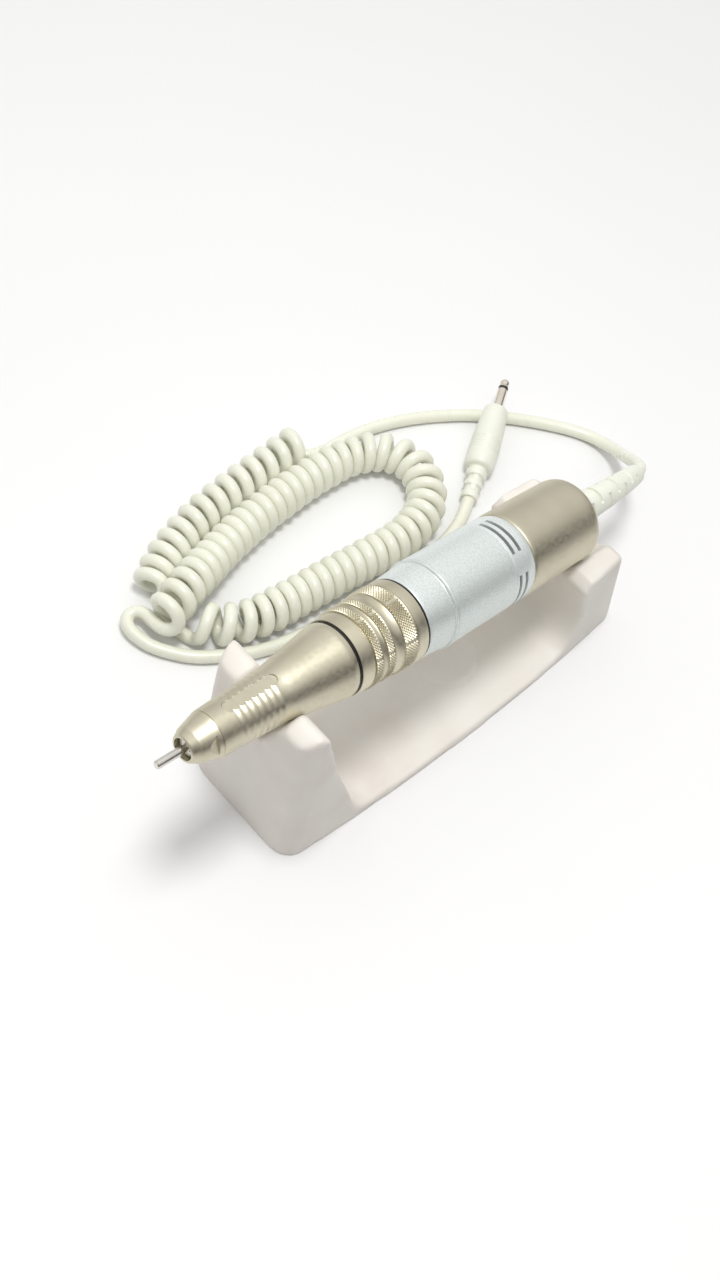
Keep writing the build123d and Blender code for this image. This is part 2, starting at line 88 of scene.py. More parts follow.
class Finish:
    """A material under construction: its node tree, and object coordinates to drive it."""

    def __init__(self, name, roughness=0.4, metallic=0.0, **sockets):
        self.material = bpy.data.materials.new(name)
        self.material.use_nodes = True
        self.tree = self.material.node_tree
        self.shader = self.tree.nodes["Principled BSDF"]
        self.shader.inputs["Roughness"].default_value = roughness
        self.shader.inputs["Metallic"].default_value = metallic
        for key, value in sockets.items():
            self.shader.inputs[key.replace("_", " ")].default_value = value
        self.place = self.tree.nodes.new("ShaderNodeTexCoord").outputs["Object"]
        self.normal = None

    def node(self, kind, **inputs):
        made = self.tree.nodes.new("ShaderNode" + kind)
        for key, value in inputs.items():
            made.inputs[key].default_value = value
        return made

    def join(self, source, target):
        self.tree.links.new(source, target)

    def noise(self, scale, detail=3.0, stretch=None):
        """Noise at a scale per metre. stretch multiplies it along each axis of the handpiece."""
        made = self.node("TexNoise", Scale=scale, Detail=detail)
        source = self.place
        if stretch:
            mapping = self.node("Mapping", Scale=stretch)
            mapping.inputs["Rotation"].default_value = (0, -math.radians(TILT), 0)
            self.join(source, mapping.inputs["Vector"])
            source = mapping.outputs["Vector"]
        self.join(source, made.inputs["Vector"])
        return made.outputs["Fac"]

    def cells(self, scale):
        """The distance from the middle of each of many small cells."""
        made = self.node("TexVoronoi", Scale=scale)
        self.join(self.place, made.inputs["Vector"])
        return made.outputs["Distance"]

    def paint(self, source, *stops):
        """Colour the surface through a ramp: stops are (place, colour)."""
        ramp = self.node("ValToRGB")
        set_stops(ramp, stops)
        self.join(source, ramp.inputs["Fac"])
        self.join(ramp.outputs["Color"], self.shader.inputs["Base Color"])

    def rough(self, source, low, high):
        """Let the roughness run from low to high over the source's middle values."""
        made = self.node("MapRange")
        for key, value in (("From Min", 0.35), ("From Max", 0.65), ("To Min", low), ("To Max", high)):
            made.inputs[key].default_value = value
        self.join(source, made.inputs["Value"])
        self.join(made.outputs["Result"], self.shader.inputs["Roughness"])

    def bump(self, source, height_mm, strength=1.0):
        """Raise the surface by up to height_mm, on top of any bump made before."""
        made = self.node("Bump", Strength=strength, Distance=height_mm * MM)
        self.join(source, made.inputs["Height"])
        if self.normal:
            self.join(self.normal, made.inputs["Normal"])
        self.normal = made.outputs["Normal"]
        self.join(self.normal, self.shader.inputs["Normal"])


def satin_metal(name, dark, light, roughness, grain=0.004):
    """Anodised metal with a fine blasted grain and faint handling marks."""
    f = Finish(name, roughness, 1.0)
    f.paint(f.noise(60), (0.3, dark), (0.7, light))
    f.rough(f.noise(900), roughness - 0.05, roughness + 0.06)
    f.bump(f.noise(5200, 2), grain)
    f.bump(f.noise(140, 2), 0.012, 0.35)
    return f.material


def turned_metal(name, dark, light, roughness, lines=0.003):
    """Turned metal: fine rings left by the tool, which stretch the highlights."""
    f = Finish(name, roughness, 1.0)
    f.paint(f.noise(45), (0.3, dark), (0.7, light))
    f.rough(f.noise(700), roughness - 0.05, roughness + 0.05)
    f.bump(f.noise(40, 2, (260, 1, 1)), lines)
    f.bump(f.noise(4200, 2), 0.0015)
    return f.material


def flake_paint(name, base, spark):
    """Frosted metallic paint with sparkling flakes."""
    f = Finish(name, 0.36, 0.45, Coat_Weight=0.25, Coat_Roughness=0.3)
    f.paint(f.cells(2600), (0.05, spark), (0.6, base))
    f.rough(f.noise(3200, 1), 0.28, 0.46)
    f.bump(f.noise(3800, 1), 0.012)
    f.bump(f.noise(120, 2), 0.01, 0.3)
    return f.material


def soft_plastic(name, dark, light, roughness, pores):
    """Moulded plastic with a slow change of tone and a fine skin."""
    f = Finish(name, roughness, Coat_Weight=0.15, Coat_Roughness=0.2)
    f.paint(f.noise(55), (0.3, dark), (0.7, light))
    f.rough(f.noise(260), roughness - 0.05, roughness + 0.08)
    f.bump(f.noise(2400, 2), pores)
    return f.material


def silicone():
    """Pale grey silicone rubber, a little grubby, with light scuffs."""
    f = Finish("silicone", 0.55)
    clean, warm, grubby = tone(236, 232, 225), tone(232, 227, 219), tone(224, 216, 208)
    f.paint(f.noise(38, 6), (0.3, grubby), (0.5, warm), (0.7, clean))
    f.rough(f.noise(90, 8), 0.42, 0.6)
    f.bump(f.noise(3000, 2), 0.012)
    f.bump(f.noise(110, 5), 0.012, 0.3)
    return f.material


def matte_black():
    """Black seal rubber."""
    f = Finish("seal_black", 0.5)
    f.paint(f.noise(300), (0.3, tone(14, 13, 13)), (0.7, tone(30, 28, 27)))
    f.bump(f.noise(2500, 2), 0.01)
    return f.material


def white_table():
    """A matt white table top, faintly uneven."""
    f = Finish("table", 0.6, Emission_Color=(1, 1, 1, 1), Emission_Strength=0.02)
    f.paint(f.noise(3), (0.3, tone(234, 234, 234)), (0.7, tone(237, 237, 237)))
    f.bump(f.noise(400, 2), 0.02, 0.3)
    return f.material


CHAMPAGNE = satin_metal("champagne_satin", tone(207, 201, 179), tone(218, 213, 192), 0.42)
COLLAR_METAL = turned_metal("champagne_turned", tone(206, 200, 177), tone(218, 212, 191), 0.42)
SILVER = flake_paint("silver_flake", tone(214, 222, 219), tone(244, 248, 246))
BRIGHT = flake_paint("bright_silver", tone(222, 229, 227), tone(244, 248, 246))
JACKET = soft_plastic("cord_jacket", tone(230, 231, 214), tone(235, 236, 221), 0.3, 0.003)
MOULDING = soft_plastic("cord_moulding", tone(230, 232, 218), tone(235, 237, 224), 0.42, 0.006)
SILICONE = silicone()
BLACK = matte_black()
TABLE = white_table()
FINISHES = {
    "rest_rubber": SILICONE,
    "cord_jacket": JACKET,
    "cord_moulding": MOULDING,
    "champagne_metal": CHAMPAGNE,
    "silver_paint": SILVER,
    "bright_silver": BRIGHT,
    "seal_black": BLACK,
    "steel": turned_metal("ground_steel", tone(216, 213, 206), tone(232, 229, 223), 0.28),
    "plug_metal": satin_metal("nickel_plate", tone(222, 214, 200), tone(236, 229, 216), 0.14, 0.0008),
    "turned_aluminium": turned_metal("turned_aluminium", tone(196, 197, 199), tone(214, 215, 217), 0.32),
    "motor_steel": satin_metal("zinc_plate", tone(158, 160, 164), tone(184, 186, 190), 0.38),
    "bronze": turned_metal("sintered_bronze", tone(168, 132, 82), tone(194, 156, 102), 0.42),
    "copper": satin_metal("enamelled_copper", tone(172, 98, 58), tone(206, 126, 80), 0.3),
    "black_plastic": soft_plastic("black_plastic", tone(22, 22, 23), tone(36, 36, 38), 0.48, 0.01),
    "wire_red": soft_plastic("red_wire", tone(168, 30, 26), tone(190, 44, 38), 0.4, 0.006),
}


# ---------------------------------------------------------------- mesh helpers
def add_piece(name, points, faces, finish, body, replaced=(), sharp=38):
    """A closed mesh, given in millimetres in the row frame, that rides on a body."""
    mesh = bpy.data.meshes.new(name)
    mesh.from_pydata([Vector(p) * MM for p in points], [], faces)
    work = bmesh.new()
    work.from_mesh(mesh)
    bmesh.ops.recalc_face_normals(work, faces=work.faces)
    work.to_mesh(mesh)
    work.free()
    return add_mesh(name, mesh, finish, body, replaced, sharp)


def add_mesh(name, mesh, finish, body, replaced=(), sharp=38):
    """A shaded piece from a mesh. Edges that turn by more than sharp degrees stay crisp."""
    mesh.materials.clear()
    mesh.materials.append(finish)
    mesh.polygons.foreach_set("use_smooth", [True] * len(mesh.polygons))
    mesh.set_sharp_from_angle(angle=math.radians(sharp))
    piece = bpy.data.objects.new(name, mesh)
    bpy.context.scene.collection.objects.link(piece)
    if body:
        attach(piece, body)
    if replaced:
        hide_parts(*replaced)
    return piece


def lathe_points(outline, columns, shape=None, place=HANDPIECE):
    """Rings of points about the axis. shape(station, radius, angle) may change the radius."""
    stations = np.array([p[0] for p in outline])[:, None]
    radii = np.array([p[1] for p in outline])[:, None]
    angles = np.arange(columns)[None, :] * (2 * math.pi / columns)
    stations, radii, angles = np.broadcast_arrays(stations, radii, angles)
    if shape:
        radii = shape(stations, radii, angles)
    flat = np.stack([stations, radii * np.sin(angles), radii * np.cos(angles)], -1).reshape(-1, 3)
    turn, move = np.array(place.to_3x3()), np.array(place.translation)
    return flat @ turn.T + move


def lathe_faces(rows, columns, closed=True):
    """Quads between neighbouring rings, and from the last ring to the first where closed."""
    faces = []
    for row in range(rows if closed else rows - 1):
        here, there = row * columns, (row + 1) % rows * columns
        for column in range(columns):
            following = (column + 1) % columns
            faces.append((here + column, here + following, there + following, there + column))
    return faces


def lathe(name, outline, finish, body, replaced=(), columns=192, shape=None,
          place=HANDPIECE, sharp=38):
    """A turned piece: the closed outline of (station, radius) points, taken round the axis."""
    points = lathe_points(outline, columns, shape, place)
    faces = lathe_faces(len(outline), columns)
    return add_piece(name, points, faces, finish, body, replaced, sharp)


def stations(start, end, step):
    """Even stations about a step apart, from start to end, both included."""
    return list(np.linspace(start, end, max(2, round(abs(end - start) / step) + 1)))


# ---------------------------------------------------------------- the rest
def smoothed(mesh, rounds):
    """The mesh's points, each moved half way to its neighbours' average, rounds times over."""
    count = len(mesh.vertices)
    co = np.empty(count * 3)
    mesh.vertices.foreach_get("co", co)
    co = co.reshape(-1, 3)
    edges = np.empty(len(mesh.edges) * 2, int)
    mesh.edges.foreach_get("vertices", edges)
    a, b = edges[::2], edges[1::2]
    degree = np.bincount(edges, minlength=count)[:, None]
    for _ in range(rounds):
        total = np.zeros_like(co)
        for axis in range(3):
            total[:, axis] += np.bincount(a, co[b, axis], count)
            total[:, axis] += np.bincount(b, co[a, axis], count)
        co += 0.5 * (total / degree - co)
    return co


def eased(value, start, end):
    """0 up to start, 1 from end, and smooth between."""
    share = np.clip((value - start) / (end - start), 0, 1)
    return share * share * (3 - 2 * share)


REST_VOXEL, REST_ROUNDS, BASE_SKIN = 0.75, 7, 0.8
HORN_SWELL, HORN_SPREAD, HORN_DROP = 1.6, 0.075, 2.2
VALLEY_HALF, VALLEY_DEPTH, VALLEY_END = 5.5, 1.1, -66
RING_SPOT, RING_R, RING_HALF, RING_HEIGHT = (12.0, 0.0), 11.0, 0.55, 0.3


def rest_form():
    """The CAD rest as one even mesh, fine enough to round and to bend."""
    form = bpy.data.objects.new("rest_form", frame["nodes"]["hand_rest"].data.copy())
    bpy.context.scene.collection.objects.link(form)
    remesh = form.modifiers.new("remesh", "REMESH")
    remesh.mode = "VOXEL"
    remesh.voxel_size = REST_VOXEL * MM
    mesh = bpy.data.meshes.new_from_object(form.evaluated_get(bpy.context.evaluated_depsgraph_get()))
    bpy.data.objects.remove(form)
    return mesh


def fuller_horns(x, y, z):
    """Thicken and spread the two tall horns, and lower their outer shoulders, in place."""
    height = eased(z, 8, 60)
    inner = eased(x, -72.5, -67.5) * (1 - eased(x, -45, -35))
    x += HORN_SWELL * inner * eased(z, 26, 58)
    front = 1 - eased(x, -66, -52)
    x -= HORN_SWELL * height * (1 - eased(x, -73, -68))
    y *= 1 + HORN_SPREAD * front * height * eased(np.abs(y), 8, 15)
    z -= HORN_DROP * eased(z, 58, 64) * (1 - eased(x, -74, -67))


def valley_and_ring(x, y, z):
    """Hollow the front face between the horns, and raise the ring on the floor, in place."""
    valley = np.exp(-(y / VALLEY_HALF) ** 2) * np.clip((z - 8) / 25, 0, 1) * (x < VALLEY_END)
    x += valley * VALLEY_DEPTH
    off = np.abs(np.hypot(x - RING_SPOT[0], y - RING_SPOT[1]) - RING_R)
    on_floor = (z > 1.5) & (z < 5)
    z += np.where(on_floor, RING_HEIGHT * (1 - eased(off, RING_HALF * 0.4, RING_HALF)), 0)


def hand_rest():
    """The silicone rest: the CAD form, with fuller horns, rounded edges and a raised ring."""
    mesh = rest_form()
    co = np.empty(len(mesh.vertices) * 3)
    mesh.vertices.foreach_get("co", co)
    x, y, z = co.reshape(-1, 3).T / MM
    flat_base = z < BASE_SKIN
    fuller_horns(x, y, z)
    mesh.vertices.foreach_set("co", (np.stack([x, y, z], -1) * MM).ravel())
    x, y, z = smoothed(mesh, REST_ROUNDS).T / MM
    valley_and_ring(x, y, z)
    z = np.where(flat_base, np.clip(z * 0.3, 0, None), np.maximum(z, 0))
    mesh.vertices.foreach_set("co", (np.stack([x, y, z], -1) * MM).ravel())
    add_mesh("rest_body", mesh, SILICONE, "rest", ["hand_rest"], 70)


# ---------------------------------------------------------------- nose and cone
FLAT_ANGLE, FLAT_REACH, FLAT_END = math.radians(-62), 5.7, -115.9
GROOVE_FIRST, GROOVE_PITCH, GROOVE_COUNT, GROOVE_DEPTH, GROOVE_LENGTH = -108.5, 2.12, 7, 0.3, 1.15
PAD_ANGLE, PAD_START, PAD_END, PAD_HALF, PAD_DEPTH = math.radians(7.2), -110.3, -92.6, 1.85, 0.38


def nose_shape(station, radius, angle):
    """Two wrench flats, cut up to a small wall behind them."""
    outside = (radius > 3.5) & (station < FLAT_END + 0.01)
    result = radius.copy()
    for centre in (FLAT_ANGLE, FLAT_ANGLE + math.pi):
        facing = np.cos(angle - centre)
        flat = FLAT_REACH / np.maximum(facing, 0.05)
        result = np.where(outside & (facing > 0.3), np.minimum(result, flat), result)
    return result


def nose_tip():
    outline = [(NOSE, 3.2), (NOSE, 3.6), (-122.52, 3.82), (-122.3, 4.02), (-120.6, 4.95), (-120.4, 5.12)]
    outline += [(s, 5.12 + (s + 120.4) * 0.28) for s in stations(-120.1, FLAT_END, 0.15)]
    outline += [(FLAT_END + 0.05, 6.4), (-115.0, 6.66), (TIP_SEAM - 0.12, 6.74), (TIP_SEAM, 6.64)]
    outline += [(TIP_SEAM, 4.98), (-112.8, 4.98), (-112.8, 3.4), (-118, 3.4), (-118, 3.15)]
    lathe("nose_cap", outline, CHAMPAGNE, "handpiece", ["nose_tip"], 256, nose_shape)


def cone_radius(station):
    """Outside of the nose cone: nearly straight at the finger grip, wider behind it."""
    slim = 6.8 + (station - TIP_SEAM) / 22.0
    wide = 7.8 + (station + 92.6) * (3.25 / 20.3)
    blend = np.clip((station + 94.6) / 4.0, 0, 1)
    return slim * (1 - blend) + wide * blend


def cone_shape(station, radius, angle):
    """Seven grooves with one steep side, and a smooth oblong pad that interrupts them."""
    outside = radius > 6.3
    result = radius.copy()
    for index in range(GROOVE_COUNT):
        along = (station - GROOVE_FIRST - index * GROOVE_PITCH) / GROOVE_LENGTH
        depth = np.minimum(along / 0.12, (1 - along) / 0.88)
        result = np.where(outside, result - GROOVE_DEPTH * np.clip(depth, 0, 1), result)
    across = radius * np.sin(angle - PAD_ANGLE)
    facing = np.cos(angle - PAD_ANGLE)
    beyond = np.maximum(np.maximum(PAD_START + PAD_HALF - station, station - PAD_END + PAD_HALF), 0)
    inside = outside & (facing > 0.5) & (beyond ** 2 + across ** 2 < PAD_HALF ** 2)
    floor = (radius - PAD_DEPTH) / np.maximum(facing, 0.5)
    return np.where(inside, np.minimum(result, floor), result)


def nose_cone():
    front, back = TIP_SEAM + 0.05, CONE_SEAM - 0.3
    outline = [(front, 5.1), (front, 6.6), (front + 0.06, 6.72)]
    reach = stations(front + 0.2, -110.8, 0.5) + stations(-110.7, -92.2, 0.11) + stations(-91.9, -72.5, 0.6)
    outline += [(s, float(cone_radius(s))) for s in reach]
    outline += [(-72.38, 11.02), (-72.2, 11.03), (back - 0.2, 10.93), (back, 10.8)]
    outline += [(back, SLEEVE_R), (-78, SLEEVE_R), (-98, 3.6), (-105.6, 3.6), (-105.6, 5.0), (front, 5.0)]
    lathe("finger_cone", outline, CHAMPAGNE, "handpiece", ["nose_cone"], 384,
          cone_shape, sharp=24)


# ---------------------------------------------------------------- lock collar
KNURL_COLUMNS, KNURL_ROW, KNURL_HEIGHT = 168, 0.45, 0.2
KNURL_SECTORS, KNURL_GAP, KNURL_TURN = 6, math.radians(2.9), math.radians(3.5)


def plain(*points):
    """Smooth rings of the collar: (station, radius, None)."""
    return [(station, radius, None) for station, radius in points]


def knurled(start, end, radius_start, radius_end):
    """Rings of one knurled band: (station, radius, number), with smooth rings at both ends."""
    count = 2 * round((end - start) / KNURL_ROW / 2) + 1
    rings = []
    for index in range(count):
        share = index / (count - 1)
        radius = radius_start + (radius_end - radius_start) * share
        number = None if index in (0, count - 1) else index
        rings.append((start + (end - start) * share, radius, number))
    return rings


def collar_rings():
    """The collar's outline: plain, concave and knurled bands, then its bore."""
    rings = plain((-69.95, COLLAR_BORE), (-69.95, 11.2), (-69.83, 11.33), (-69.6, 11.36), (-65.9, 11.5))
    rings += plain((-65.7, 11.52), (-65.55, 11.5), (-65.4, 11.3), (-65.25, 11.3))
    rings += knurled(-65.2, -62.6, 11.85, 11.95)
    rings += plain((-62.5, 11.5), (-62.35, 11.4), (-61.9, 11.36), (-61.2, 11.4), (-60.85, 11.45))
    rings += plain((-60.7, 11.55))
    rings += knurled(-60.6, -58.1, 12.0, 12.08)
    rings += plain((-57.98, 11.75), (-57.8, 11.72))
    for share in stations(0.1, 0.9, 0.1):
        dip = 0.22 * math.sin(math.pi * share)
        rings += plain((-57.8 + 2.9 * share, 11.72 + 0.2 * share - dip))
    rings += plain((-54.9, 11.92), (-54.7, 12.0))
    rings += knurled(-54.6, -49.7, 12.45, 12.6)
    rings += plain((-49.62, 12.3), (-49.45, 12.25), (-49.2, 12.25), (-49.05, 12.44), (-48.85, 12.46))
    rings += plain((-48.5, 12.46), (-45.75, 12.53), (-45.52, 12.5), (-45.4, 12.38), (-45.4, COLLAR_BORE))
    rings += plain((-47.5, COLLAR_BORE), (-47.5, 10.2), (-57, 10.2), (-57, COLLAR_BORE))
    return rings


def lock_collar():
    """The twist collar, turned in one piece: its knurl is a net of small pyramids."""
    rings = collar_rings()
    columns = np.arange(KNURL_COLUMNS)
    angles = columns * 2 * math.pi / KNURL_COLUMNS
    sector = 2 * math.pi / KNURL_SECTORS
    off_gap = np.abs((angles - KNURL_TURN + sector / 2) % sector - sector / 2) > KNURL_GAP

    def raised(station, radius, angle):
        radius = radius.copy()
        for ring, (_, base, number) in enumerate(rings):
            if number is not None:
                peak = (columns + number) % 2 == 1
                radius[ring] = base - KNURL_HEIGHT + np.where(off_gap & peak, 2 * KNURL_HEIGHT, 0)
        return radius

    points = lathe_points([(station, radius) for station, radius, _ in rings], KNURL_COLUMNS, raised)
    faces = []
    for index, (a, b, c, d) in enumerate(lathe_faces(len(rings), KNURL_COLUMNS)):
        ring, column = divmod(index, KNURL_COLUMNS)
        number, following = rings[ring][2], rings[(ring + 1) % len(rings)][2]
        if number is None and following is None:
            faces.append((a, b, c, d))
            continue
        if number is None:
            number = following - 1
        if (column + number) % 2 == 1:
            faces += [(a, b, d), (b, c, d)]
        else:
            faces += [(a, b, c), (a, c, d)]
    add_piece("twist_collar", points, faces, COLLAR_METAL, "lock_collar",
              ["lock_collar"], 28)


# ---------------------------------------------------------------- body, vents and cap
def body_shell():
    front = BODY_SEAM + 0.25
    outline = [(front, SLEEVE_R), (front, 12.2), (front + 0.08, 12.38), (front + 0.3, 12.48)]
    outline += [(s, 12.48 + (s - front) * 0.082) for s in stations(front + 1, -35.6, 1.5)]
    outline += [(-35.4, 13.22), (-35.25, 13.12), (-35.1, 13.2), (-35.0, 13.55), (-34.85, 13.74)]
    outline += [(-34.5, 13.76), (-34.35, 13.6), (-34.25, 13.32), (-34.05, 13.24), (-33.85, 13.34)]
    outline += [(-33.7, 13.58), (-33.4, 13.62)]
    outline += [(s, BODY_R) for s in stations(-32, VENT - 0.6, 2)]
    outline += [(VENT - 0.2, 13.6), (VENT - 0.06, 13.56), (VENT, 13.47)]
    outline += [(VENT, SHELL_BORE), (-41, SHELL_BORE), (-41, SLEEVE_R)]
    lathe("silver_shell", outline, SILVER, "handpiece", ["body_shell"], 192)


VENT_SLOTS, VENT_WIDTH, VENT_LIP, VENT_SPAN, VENT_TURN, VENT_COLUMNS = (-7.0, -4.3), 1.2, 0.12, 62, 4, 360


def vent_ring():
    """The plain band with four pairs of slots cut right through it."""
    cuts = sorted(slot + side * (VENT_WIDTH / 2 + extra)
                  for slot in VENT_SLOTS for side in (-1, 1) for extra in (0, VENT_LIP))
    outer = [(VENT, 13.3), (VENT + 0.06, 13.42), (VENT + 0.25, 13.5)] + [(s, 13.5) for s in cuts]
    outer += [(-3.2, 13.5), (-1.35, 13.5), (-1.15, 13.46), (-0.3, 13.24), (-0.1, 13.18), (0, 13.05)]
    inner = [(s, SHELL_BORE) for s, _ in reversed(outer)]
    outline = outer + inner
    points = lathe_points(outline, VENT_COLUMNS)
    turn = 360 / VENT_COLUMNS
    middles = [(column + 0.5) * turn - VENT_TURN for column in range(VENT_COLUMNS)]
    open_column = [abs((middle + 45) % 90 - 45) < VENT_SPAN / 2 for middle in middles]
    half = len(outer)
    opened = {row for row in range(half - 1) for slot in VENT_SLOTS
              if abs((outer[row][0] + outer[row + 1][0]) / 2 - slot) < VENT_WIDTH / 2 - 0.05}
    faces = []
    for index, face in enumerate(lathe_faces(len(outline), VENT_COLUMNS)):
        row, column = divmod(index, VENT_COLUMNS)
        mirrored = 2 * half - 2 - row
        if not (open_column[column] and (row in opened or mirrored in opened)):
            faces.append(face)

    def corner(row, column):
        return row * VENT_COLUMNS + column % VENT_COLUMNS

    for row in opened:
        low, high = 2 * half - 1 - row, 2 * half - 2 - row
        for column in range(VENT_COLUMNS):
            if open_column[column]:
                for here, there in ((row, low), (row + 1, high)):
                    faces.append((corner(here, column), corner(here, column + 1),
                                  corner(there, column + 1), corner(there, column)))
            if open_column[column] != open_column[column - 1]:
                faces.append((corner(row, column), corner(row + 1, column),
                              corner(high, column), corner(low, column)))
    add_piece("vented_band", points, faces, BRIGHT, "handpiece", ["vent_ring"], 30)


def end_cap():
    outline = [(0.02, 12.4), (0.02, 13.0), (0.12, 13.25), (0.4, 13.42), (0.9, 13.49)]
    outline += [(s, 13.5 - 0.25 * (s / 29) ** 2) for s in stations(2, 28.5, 1.5)]
    outline += [(29.6, 13.2), (30.4, 13.08), (31.0, 12.86), (31.4, 12.5), (31.6, 12.0), (31.6, 6.2)]
    outline += [(31.5, 5.9), (31.2, 5.75), (29, 5.75), (29, 12.2), (2, 12.3)]
    lathe("rear_cap", outline, CHAMPAGNE, "handpiece", ["end_cap"], 192)


# ---------------------------------------------------------------- cord boot
BOOT_BEND_R, BOOT_SIDE, BOOT_COLUMNS = 75.0, (0, 2.5, -5), 120
RELIEF_ROWS, RELIEF_FIRST, RELIEF_PITCH, RELIEF_TURN = 8, 35.1, 4.7, 8
RELIEF_HALF, RELIEF_REACH, RELIEF_DEPTH = 0.62, math.radians(54), 1.1


def boot_place(distance):
    """Centre and heading of the boot, a distance past the start of its bend."""
    angle = distance / BOOT_BEND_R
    side = Vector(BOOT_SIDE).normalized()
    centre = Vector((BOOT_BEND + BOOT_BEND_R * math.sin(angle), 0, 0))
    centre += side * BOOT_BEND_R * (1 - math.cos(angle))
    return centre, Vector((math.cos(angle), 0, 0)) + side * math.sin(angle)


def boot_axis(station):
    """Centre and heading of the boot at a station: straight up to its bend."""
    if station <= BOOT_BEND:
        return Vector((station, 0, 0)), Vector((1, 0, 0))
    return boot_place(station - BOOT_BEND)


def relief_depth(station, radius, angle):
    """How far the relief slots cut into the boot at one place."""
    depth = 0.0
    for slot in range(RELIEF_ROWS):
        along = abs(station - RELIEF_FIRST - slot * RELIEF_PITCH)
        if along >= RELIEF_HALF:
            continue
        for side in range(2):
            middle = math.radians(RELIEF_TURN + 180 * side + 90 * (slot % 2))
            around = abs((angle - middle + math.pi) % (2 * math.pi) - math.pi)
            wall = min((RELIEF_HALF - along) / 0.2, (RELIEF_REACH - around) * radius / 0.25)
            depth = max(depth, min(max(wall, 0), 1))
    return RELIEF_DEPTH * depth


def strain_relief():
    """The moulded boot: a bent cone with two staggered rows of relief slots on each side."""
    tip = BOOT_BEND + BOOT_ARC
    taper = (4.7 - BOOT_TIP_R) / BOOT_ARC
    rows = [(29, 3.0), (29, 5.6)] + [(s, 5.6) for s in stations(29.4, 31.4, 0.5)]
    rows += [(s, 5.45 - 0.75 * (s - 31.6) / 14.4) for s in stations(31.6, BOOT_BEND, 0.22)]
    rows += [(s, 4.7 - taper * (s - BOOT_BEND)) for s in stations(BOOT_BEND + 0.22, tip - 0.3, 0.22)]
    rows += [(tip - 0.12, BOOT_TIP_R - 0.03), (tip, BOOT_TIP_R - 0.2), (tip, 2.2), (tip - 3, 2.2)]
    points = []
    for index, (station, radius) in enumerate(rows):
        centre, heading = boot_axis(station)
        up = (Vector((0, 0, 1)) - heading * heading.z).normalized()
        aside = up.cross(heading)
        slotted = 6 < index < len(rows) - 3
        for column in range(BOOT_COLUMNS):
            angle = column * 2 * math.pi / BOOT_COLUMNS
            reach = radius - (relief_depth(station, radius, angle) if slotted else 0)
            point = centre + up * (reach * math.cos(angle)) + aside * (reach * math.sin(angle))
            points.append(HANDPIECE @ point)
    faces = lathe_faces(len(rows), BOOT_COLUMNS)
    add_piece("cord_boot", points, faces, MOULDING, "handpiece", ["strain_relief"], 45)


# ---------------------------------------------------------------- cord
EXIT = HANDPIECE @ boot_place(BOOT_ARC)[0]
REAR_LEAD = [(101.48, 3.93, 28.95), (108.0, 8.9, 22.2), (114.0, 14.4, 14.6), (119.4, 20.8, 7.7),
             (121.9, 29.0, 3.2), (119.3, 37.6, 2.2), (111.8, 47.4, 2.2), (101.0, 58.6, 2.2),
             (88.0, 69.0, 2.2), (72.0, 77.8, 2.2), (57.0, 82.8, 2.2), (44.0, 84.2, 2.2),
             (36.5, 84.2, 2.2), (31.5, 85.4, 2.2), (29.2, 87.4, 2.2)]
CURL_REAR = [(28.5, 89.4, 7.0), (16.0, 88.6, 7.0), (4.0, 87.6, 7.0), (-10.0, 86.2, 7.0),
             (-22.5, 83.8, 7.0), (-33.5, 80.2, 7.0), (-42.0, 76.2, 7.0), (-47.6, 72.4, 7.0)]
LINK = [(-45.9, 69.2, 10.2), (-46.6, 68.0, 8.3), (-47.9, 67.2, 6.2), (-49.2, 66.2, 4.2), (-49.9, 64.4, 2.9),
        (-50.0, 61.9, 2.3), (-49.6, 58.8, 2.2), (-48.6, 55.4, 2.2), (-47.7, 52.9, 2.1), (-47.2, 51.4, 2.8)]
CURL_FRONT = [(-44.6, 53.6, 7.0), (-39.5, 48.5, 7.2), (-33.0, 45.4, 7.2), (-25.0, 43.7, 7.0),
              (-8.0, 42.6, 7.0), (10.0, 41.2, 7.0), (27.0, 39.3, 7.0), (41.5, 41.4, 7.0),
              (51.2, 48.7, 7.0), (55.6, 59.8, 7.0), (50.4, 70.6, 7.0), (38.0, 75.8, 7.0),
              (20.0, 76.2, 7.0), (0.0, 74.5, 7.2), (-18.0, 71.4, 7.8), (-31.0, 67.2, 9.8),
              (-40.5, 64.0, 11.8), (-48.5, 61.0, 12.4), (-55.5, 58.4, 12.0)]
FRONT_LEAD = [(-54.7, 59.5, 6.3), (-54.7, 62.8, 5.5), (-54.6, 66.0, 5.0), (-55.4, 68.6, 4.6),
              (-57.6, 70.0, 4.2), (-60.0, 69.2, 3.8), (-61.2, 66.9, 3.5), (-61.2, 63.4, 3.0),
              (-59.6, 57.6, 2.4), (-55.4, 51.6, 2.2), (-51.0, 46.6, 2.2), (-45.2, 42.8, 2.2),
              (-37.2, 38.0, 2.2), (-28.0, 34.6, 2.2), (-14.0, 32.4, 2.2), (4.0, 30.7, 2.2),
              (22.0, 30.3, 2.2), (37.0, 31.2, 2.2), (48.0, 32.9, 2.2), (57.0, 36.1, 2.7), PLUG_REAR]
TURN_POINTS, CLOSE_PITCH, HAND = 14, 4.36, -1
HELIX_CUT = 1.02  # the smooth line cuts inside its control points by this share of the radius
AXIS_SAMPLES, BEND_SMOOTHING, BEND_CROWDING = 4000, 150, 0.85
AXIS_RESOLUTION, CORD_RESOLUTION, CORD_SIDES = 24, 4, 14


